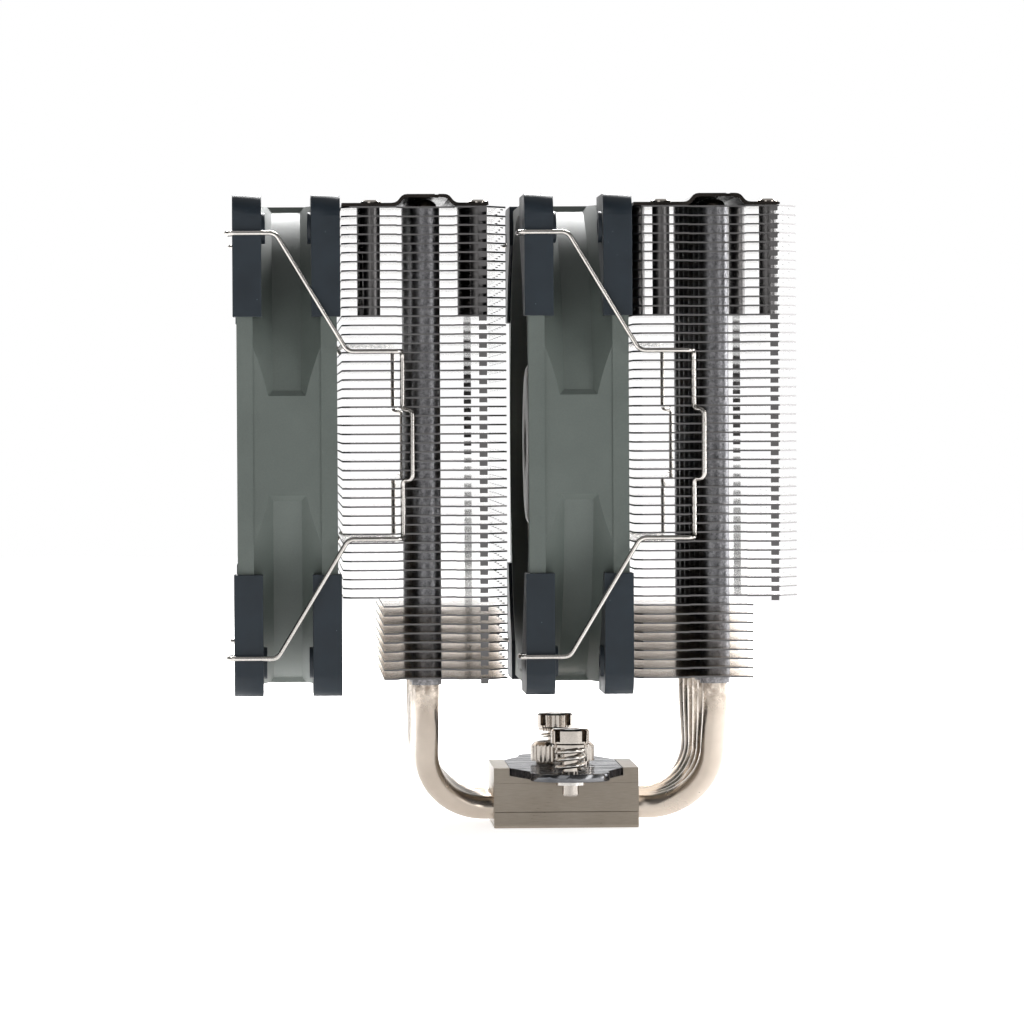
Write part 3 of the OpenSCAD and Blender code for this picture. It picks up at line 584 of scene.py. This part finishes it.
def blade_rings(centre, hub_r, tip_r, inlet_x, outlet_x, angle):
    """Cross-sections of one swept, twisted blade from inside the hub to its tip."""
    rings = []
    span_steps, chord_steps = 14, 12
    for i in range(span_steps + 1):
        u = i / span_steps
        radius = hub_r - 0.6 * MM + (tip_r - hub_r + 0.6 * MM) * u
        chord = (11.5 + 20 * u ** 0.9) * MM
        depth = (outlet_x - inlet_x) * (0.93 - 0.16 * u * u)
        sweep = -0.10 - 0.16 * u * u
        thick = (1.9 - 0.9 * u) * MM
        upper, lower = [], []
        for k in range(chord_steps + 1):
            v = k / chord_steps
            camber = 0.16 * depth * math.sin(math.pi * v)
            along = sweep + (v - 0.5) * chord / radius
            x = (inlet_x + outlet_x) / 2 + (v - 0.5) * depth - camber
            profile = thick * (math.sqrt(max(v, 1e-4)) * (1 - v) * 1.9 + 0.14)
            for side, sign in ((upper, 1), (lower, -1)):
                phi = angle + along - sign * 0.5 * profile / radius * 0.7
                here_x = x + sign * 0.5 * profile * 0.7
                side.append(Vector((here_x, centre.y + radius * math.sin(phi), centre.z - radius * math.cos(phi))))
        rings.append(upper + lower[::-1])
    return rings


def lathe(profile, centre):
    """A closed solid of revolution about the X axis through centre, from (x, radius) points."""
    segments = 96
    rings = []
    for x, radius in profile:
        rings.append([Vector((x, centre.y + radius * math.sin(TAU * k / segments),
                              centre.z - radius * math.cos(TAU * k / segments))) for k in range(segments)])
    return loft(rings)


def make_impellers():
    """Fan wheels: a rounded hub cup with a blank recess, and swept blades."""
    for fan in FANS:
        node = f"{fan}_impeller"
        low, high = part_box(node)
        centre = middle(node)
        bore_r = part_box(f"{fan}_rotor_yoke")[1].y
        hub_r = bore_r + HUB_WALL
        face, end = low.x, high.x
        hub = [
            (face + 0.35 * MM, 0.5 * MM), (face + 0.35 * MM, 6 * MM), (face, 6.6 * MM),
            (face, hub_r - 2.6 * MM), (face + 0.15 * MM, hub_r - 1.6 * MM), (face + 0.6 * MM, hub_r - 0.75 * MM),
            (face + 1.3 * MM, hub_r - 0.2 * MM), (face + 2.2 * MM, hub_r),
            (end - 0.4 * MM, hub_r), (end, hub_r - 0.4 * MM), (end, bore_r),
            (face + HUB_WALL, bore_r), (face + HUB_WALL, 0.5 * MM),
        ]
        parts = [lathe(hub, centre)]
        for k in range(BLADE_COUNT):
            angle = TAU * k / BLADE_COUNT
            parts.append(loft(blade_rings(centre, hub_r, high.y, face + 1 * MM, end - 1 * MM, angle)))
        add_piece(f"{fan}_fan_wheel", *merge(parts), node, sharp=35)


# ---------------------------------------------------------------- finish of the CAD pieces


def soften_edges(node, width_mm):
    """Small rounds on the true edges of a CAD piece, by modifiers only."""
    piece = frame["nodes"][node]
    weld = piece.modifiers.new("weld", "WELD")
    weld.merge_threshold = 1e-6
    flat = piece.modifiers.new("flat", "DECIMATE")
    flat.decimate_type = "DISSOLVE"
    flat.angle_limit = math.radians(0.6)
    edge = piece.modifiers.new("edge", "BEVEL")
    edge.width = width_mm * MM
    edge.segments = 2
    edge.limit_method = "ANGLE"
    edge.angle_limit = math.radians(35)
    edge.harden_normals = True


def finish_cad_pieces():
    """Every CAD node in its slot's finish; the bar has its own, darkened as painted reflection."""
    for node, piece in frame["nodes"].items():
        piece.data.materials.clear()
        piece.data.materials.append(MATERIALS[SLOT_OF[node]])
    bar = frame["nodes"]["mounting_bar"]
    bar.data.materials.clear()
    bar.data.materials.append(painted_dark_bar())


# ---------------------------------------------------------------- stage


def make_stage():
    """A plain pale floor with a glow of its own, weaker far in front of the object."""
    made, tree, shader = new_material("stage_paper")
    grain = noise(tree, place(tree), 4, 3)
    colour = mix_colour(tree, grain, (0.90, 0.90, 0.90), (0.93, 0.93, 0.93))
    point = put(tree, "ShaderNodeSeparateXYZ", values=(put(tree, "ShaderNodeTexCoord").outputs["Object"],))
    depth = point.outputs[1]
    glow = spread(tree, depth, -0.9, -0.5, 0.42, 0.75, True)
    feed(tree, shader, Base_Color=colour, Roughness=0.9, Emission_Color=(1, 1, 1, 1), Emission_Strength=glow)
    size = 3.0
    mesh = bpy.data.meshes.new("floor")
    mesh.from_pydata([(-size, -size, 0), (size, -size, 0), (size, size, 0), (-size, size, 0)], [], [(0, 1, 2, 3)])
    mesh.materials.append(made)
    floor = bpy.data.objects.new("floor", mesh)
    bpy.context.scene.collection.objects.link(floor)


def make_world():
    """White to the eye; as a light, a bright band low behind the object, dimmer on the left and in front."""
    world = bpy.data.worlds.new("studio")
    bpy.context.scene.world = world
    world.use_nodes = True
    tree = world.node_tree
    tree.nodes.clear()
    way = put(tree, "ShaderNodeTexCoord").outputs["Generated"]
    split = put(tree, "ShaderNodeSeparateXYZ", values=(way,))
    behind = spread(tree, split.outputs[1], -0.25, 0.40, 0.17, 1.15, True)
    high = spread(tree, split.outputs[2], 0.20, 0.45, 1.0, 0.30, True)
    above = spread(tree, split.outputs[2], 0.6, 0.95, 0.0, 0.30, True)
    behind = math_node(tree, "MULTIPLY", behind, high)
    beside = spread(tree, split.outputs[0], -0.95, -0.25, 0.22, 1.0, True)
    glow = math_node(tree, "ADD", math_node(tree, "MULTIPLY", behind, beside), above)
    light = put(tree, "ShaderNodeBackground", Color=(1, 1, 1, 1), Strength=glow)
    seen = put(tree, "ShaderNodeBackground", Color=(1, 1, 1, 1), Strength=1.0)
    eye = put(tree, "ShaderNodeLightPath").outputs["Is Camera Ray"]
    both = put(tree, "ShaderNodeMixShader", values=(eye, light.outputs[0], seen.outputs[0]))
    put(tree, "ShaderNodeOutputWorld", Surface=both.outputs[0])


def area_light(name, at, towards, width, height, power):
    data = bpy.data.lights.new(name, "AREA")
    data.shape = "RECTANGLE"
    data.size, data.size_y, data.energy = width, height, power
    made = bpy.data.objects.new(name, data)
    bpy.context.scene.collection.objects.link(made)
    made.location = at
    made.rotation_euler = (Vector(towards) - Vector(at)).to_track_quat("-Z", "Y").to_euler()
    made.visible_camera = False


def make_lights():
    low, high = cad_bounds
    heart = (low + high) / 2
    area_light("key_right", (1.1, -0.9, 0.35), heart, 0.4, 0.9, 4.5)
    area_light("fill_left", (-0.7, -1.5, 0.5), heart, 0.8, 0.9, 2.6)
    area_light("rim_right", (1.2, 0.5, 0.2), heart, 0.5, 0.8, 8)
    area_light("top_back", (0.1, 1.15, 0.95), heart, 1.0, 0.3, 34)


def make_camera():
    """A long lens in front of the near side, left of the middle and above half height, very slightly rolled."""
    low, high = cad_bounds
    data = bpy.data.cameras.new("camera")
    data.sensor_width = 36
    data.lens = 211.5
    data.clip_start, data.clip_end = 0.05, 20
    made = bpy.data.objects.new("camera", data)
    bpy.context.scene.collection.objects.link(made)
    made.location = (-0.0719, -1.510, 0.1014)
    aim = Vector((0.0394, 1.0, -0.0153))
    roll = Matrix.Rotation(math.radians(-0.3), 4, "Z")
    made.rotation_euler = (aim.to_track_quat("-Z", "Y").to_matrix().to_4x4() @ roll).to_euler()
    bpy.context.scene.camera = made


# ---------------------------------------------------------------- the scene

bpy.context.scene.view_settings.view_transform = "Standard"
make_camera()
make_world()
make_lights()
make_stage()
finish_cad_pieces()
make_heat_pipes()
make_clips()
make_springs()
make_impellers()
for fan in FANS:
    soften_edges(f"{fan}_fan_pads", 0.30)
for node in ("base_plate", "base_cover", "mounting_bar"):
    soften_edges(node, 0.18)
